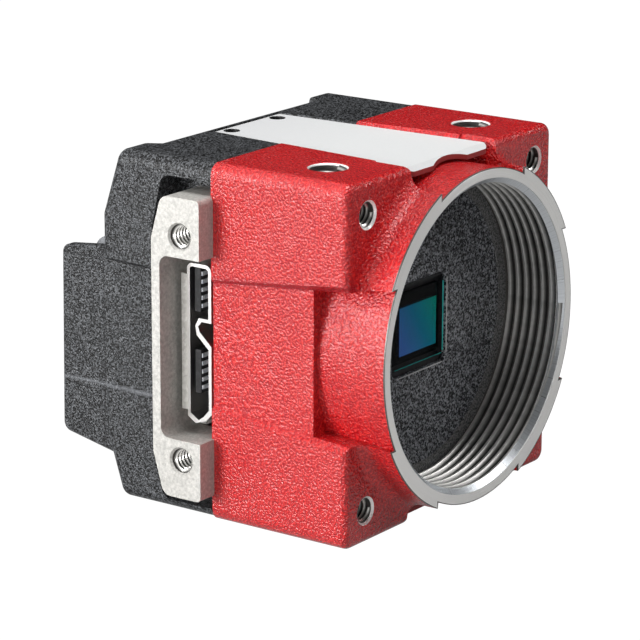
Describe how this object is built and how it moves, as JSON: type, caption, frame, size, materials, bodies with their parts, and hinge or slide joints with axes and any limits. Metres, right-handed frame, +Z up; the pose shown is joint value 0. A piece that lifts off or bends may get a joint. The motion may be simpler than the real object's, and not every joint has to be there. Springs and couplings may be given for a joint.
{
  "type": "machine vision camera",
  "caption": "Small square industrial camera body with a threaded lens ring, a side data port in a screw-lock bracket and a round rear connector.",
  "frame": {"origin": "centre of the lens flange, at the mouth of the lens thread", "axes": "-Y out of the lens mount along the optical axis, +Z up, data port on the -X side"},
  "size_m": [0.0308, 0.0314, 0.029],
  "materials": {
    "red_coat": "orange-peel powder coat",
    "dark_coat": "fine sandy powder coat",
    "strip_metal": "satin",
    "bracket_metal": "bead blasted",
    "port_steel": "plated sheet",
    "black_plastic": "moulded",
    "contact_metal": "plated",
    "black_anodised": "fine textured black",
    "filter_glass": "polished",
    "silicon": "polished silicon",
    "ceramic_package": "matt ceramic",
    "circuit_board": "solder mask",
    "chip_black": "moulded",
    "spacer_brass": "turned",
    "screw_steel": "plated",
    "plated_shell": "nickel plated",
    "light_guide": "clear polished"
  },
  "bodies": {
    "root": {"front_housing": "red_coat", "rear_housing": "dark_coat", "top_strip": "strip_metal", "bottom_strip": "strip_metal", "usb_bracket": "bracket_metal", "usb_shell": "port_steel", "usb_insert": "black_plastic", "usb_contacts": "contact_metal", "sensor_holder": "black_anodised", "sensor_package": "ceramic_package", "sensor_glass": "filter_glass", "sensor_die": "silicon", "sensor_board": "circuit_board", "image_board": "circuit_board", "port_board": "circuit_board", "board_spacers": "spacer_brass", "stack_screws": "screw_steel", "port_board_screws": "screw_steel", "case_screws": "screw_steel", "front_link_socket": "black_plastic", "front_link_plug": "black_plastic", "rear_link_socket": "black_plastic", "rear_link_plug": "black_plastic", "image_processor": "chip_black", "memory_chip": "chip_black", "usb_controller": "chip_black", "io_shell": "plated_shell", "io_insert": "black_plastic", "io_pins": "contact_metal", "status_light": "light_guide"}
  },
  "joints": []
}
